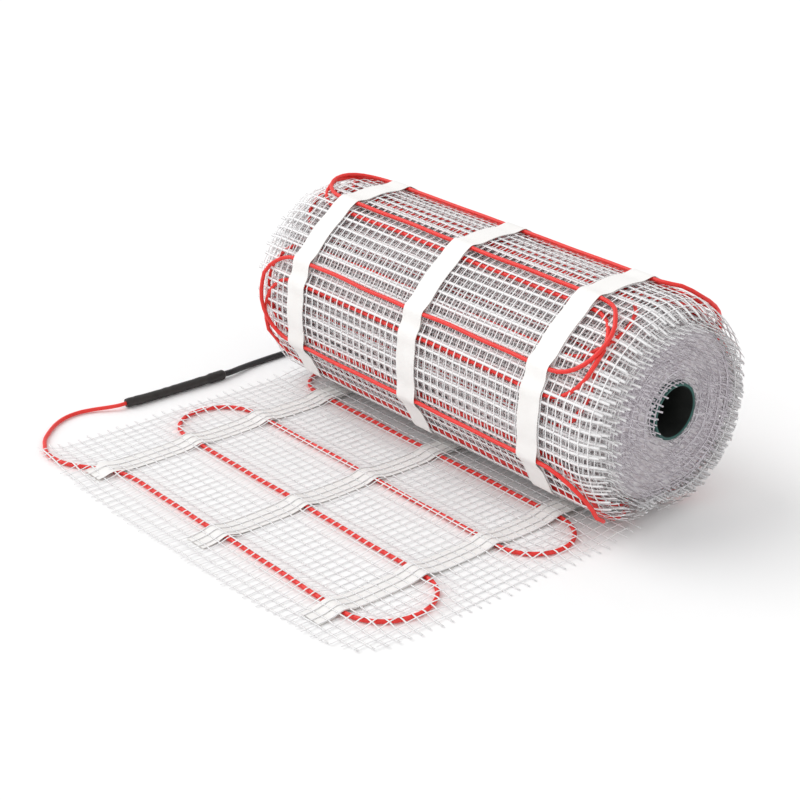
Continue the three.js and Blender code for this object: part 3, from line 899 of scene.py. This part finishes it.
def build_end_turns(side):
    """Edges of the inner turns at one end of the roll, frayed."""
    solid = Solids()
    radius = CORE_RADIUS + 2.0
    while radius < END_OUTER:
        edge = side * (MAT_WIDTH / 2 - 1) + END_SHIFT + noise.uniform(-5, 3)
        phase = noise.uniform(0, 6.28)
        degrees = np.arange(0, 361, max(4.0, 420 / radius))
        turned = np.radians(degrees)
        lump = 0.7 * np.sin(turned * 3 + phase) + 0.5 * np.sin(turned * 7 + 2 * phase)
        lump = lump * np.abs(np.sin(turned / 2)) ** 0.5
        edge_turn(solid, side, edge, radius, degrees, lump, phase)
        frayed_ends(solid, side, edge, radius, degrees, lump)
        radius += END_PITCH * noise.uniform(0.9, 1.1)
    name = "right" if side > 0 else "left"
    # The end yarns take the darkened copy of the yarn colour: painted shade
    solid.make(f"mesh_end_{name}", end_yarn_painted_shade, sharp=0)


def build_deep_turns():
    """The turns below the open outer ones, as one closed body round the core."""
    half = MAT_WIDTH / 2 - 9
    outer = END_OUTER - 2
    inner = CORE_RADIUS + 0.6
    middle = (inner + outer) / 2
    hollow = half - 3
    degrees = np.arange(0, 360, 4.0)
    rows = []
    for x, radius in (
        (-half, inner),
        (-hollow, middle),
        (-half, outer),
        (0, outer),
        (half, outer),
        (hollow, middle),
        (half, inner),
        (0, inner),
    ):
        y, z = ring_point(np.full(len(degrees), float(radius)), degrees)
        rows.append(np.stack([np.full(len(degrees), float(x + END_SHIFT)), y, z], axis=1))
    solid = Solids()
    solid.closed_grid(rows)
    # Its colour carries painted reflection and painted shade, besides the turns' own white
    solid.make("mesh_deep_turns", deep_turns_and_painted_shade, sharp=50)


# Tapes and core

TAPE_LEAVES_FLOOR = 28
TAPE_LAST_ANGLE = 336
TAPE_STEP = 3.0
TAPE_TOP_HALF = 2.4
TAPE_FOOT = 14
TAPE_FALL = 1.5
TAPE_LOWEST = 0.75


def build_tapes():
    """Backing and cover tape strips, from the free end to the nip."""
    runs = cable_runs()
    flat_end = float(along_at(TAPE_LEAVES_FLOOR))
    roll_runs = [run for run in runs if run > flat_end]
    end = float(along_at(TAPE_LAST_ANGLE))
    tape_names = ("left", "middle", "right")
    for name, centre in zip(tape_names, TAPE_CENTRES):
        along = np.arange(TAPE_INSET, end, TAPE_STEP)
        wander = 0.5 * np.sin(along / 90 + centre)
        away = np.abs(along[:, None] - np.array(roll_runs)[None]).min(axis=1)
        on_cable = np.clip(1 - (away - TAPE_TOP_HALF) / TAPE_FOOT, 0, 1) ** TAPE_FALL
        leaving = 1 - smoothstep(flat_end, flat_end + 10, along)
        on_cable = np.where(along < flat_end, 1.0, np.maximum(on_cable, leaving))
        depth = COVER_LOW + (COVER_HIGH - COVER_LOW) * on_cable
        x = centre + wander
        points, normals = on_strip(x, along, depth)
        solid = Solids()
        solid.sweep(points, normals, TAPE_WIDTH / 2, TAPE_THICKNESS / 2, TAPE_SECTION)
        cover = solid.make(f"cover_tape_{name}_strip", tape_white)
        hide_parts(f"cover_tape_{name}")
        points, normals = on_strip(x, along, BACKING_DEPTH)
        on_tail = points[:, 1] < ROLL_Y
        on_tail &= along < TAIL_LENGTH
        level = tail_height(points[on_tail, 0], points[on_tail, 1]) - 0.3
        points[on_tail, 2] = np.maximum(level, TAPE_LOWEST)
        solid = Solids()
        solid.sweep(points, normals, TAPE_WIDTH / 2, TAPE_THICKNESS / 2, TAPE_SECTION)
        backing = solid.make(f"backing_tape_{name}_strip", tape_white)
        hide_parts(f"backing_tape_{name}")


def build_core():
    """Plastic core tube with softly broken edges, its bore painted near-black for the shade inside it.
    """
    outer = CORE_RADIUS
    inner = BORE_RADIUS
    half = MAT_WIDTH / 2
    break_edge = 0.7
    profile = [
        (-half, inner + break_edge),
        (-half, outer - break_edge),
        (-half + break_edge, outer),
        (half - break_edge, outer),
        (half, outer - break_edge),
        (half, inner + break_edge),
        (half - break_edge, inner),
        (-half + break_edge, inner),
    ]
    turn = np.radians(np.arange(0, 360, 4.0))
    rows = []
    for x, radius in profile:
        y = CORE_BACK + radius * np.sin(turn)
        z = AXIS_HEIGHT + CORE_RISE - radius * np.cos(turn)
        rows.append(np.stack([np.full(len(turn), x + CORE_SHIFT), y, z], axis=1))
    solid = Solids()
    solid.closed_grid(rows)
    core = solid.make("core_tube_shell", core_green, sharp=35)
    core.data.materials.append(bore_painted_shade)
    # The bore's faces take the painted shade
    painted_shade_row = len(profile) - 2
    for face in core.data.polygons[painted_shade_row * len(turn) : (painted_shade_row + 1) * len(turn)]:
        face.material_index = 1
    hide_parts("core_tube")


tail = build_tail_mesh()
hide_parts("mesh_mat")
for turn in range(NET_TURNS):
    build_turn_mesh(turn)
build_end_turns(1)
build_end_turns(-1)
build_deep_turns()
build_tapes()
build_core()


# Floor and light


FLOOR_HALF = 12.0
SKY_STRENGTH = 0.80
KEY_STRENGTH = 1.2
KEY_ANGLE = math.radians(50)
KEY_DIRECTION = Vector((0.66, 0.52, -0.85))


def build_stage():
    material, nodes, links, shader = new_material("floor_white")
    shade = noise_texture(nodes, links, 3, 2)
    pale = ramp(nodes, links, shade, [(0.3, (0.97, 0.97, 0.97)), (0.7, (0.985, 0.985, 0.985))])
    links.new(pale, shader.inputs["Base Color"])
    shader.inputs["Roughness"].default_value = 0.9
    mesh = bpy.data.meshes.new("floor")
    size = FLOOR_HALF
    corners = [(-size, -size, 0), (size, -size, 0), (size, size, 0), (-size, size, 0)]
    mesh.from_pydata(corners, [], [(0, 1, 2, 3)])
    mesh.materials.append(material)
    floor = bpy.data.objects.new("floor", mesh)
    bpy.context.scene.collection.objects.link(floor)


def build_light():
    world = bpy.data.worlds.new("studio")
    world.use_nodes = True
    background = world.node_tree.nodes["Background"]
    background.inputs["Color"].default_value = (1, 1, 1, 1)
    background.inputs["Strength"].default_value = SKY_STRENGTH
    bpy.context.scene.world = world
    sun = bpy.data.lights.new("key", "SUN")
    sun.energy = KEY_STRENGTH
    sun.angle = KEY_ANGLE
    lamp = bpy.data.objects.new("key", sun)
    lamp.rotation_mode = "QUATERNION"
    lamp.rotation_quaternion = KEY_DIRECTION.to_track_quat("-Z", "Y")
    bpy.context.scene.collection.objects.link(lamp)
    bpy.context.scene.view_settings.view_transform = "Standard"


build_stage()
build_light()
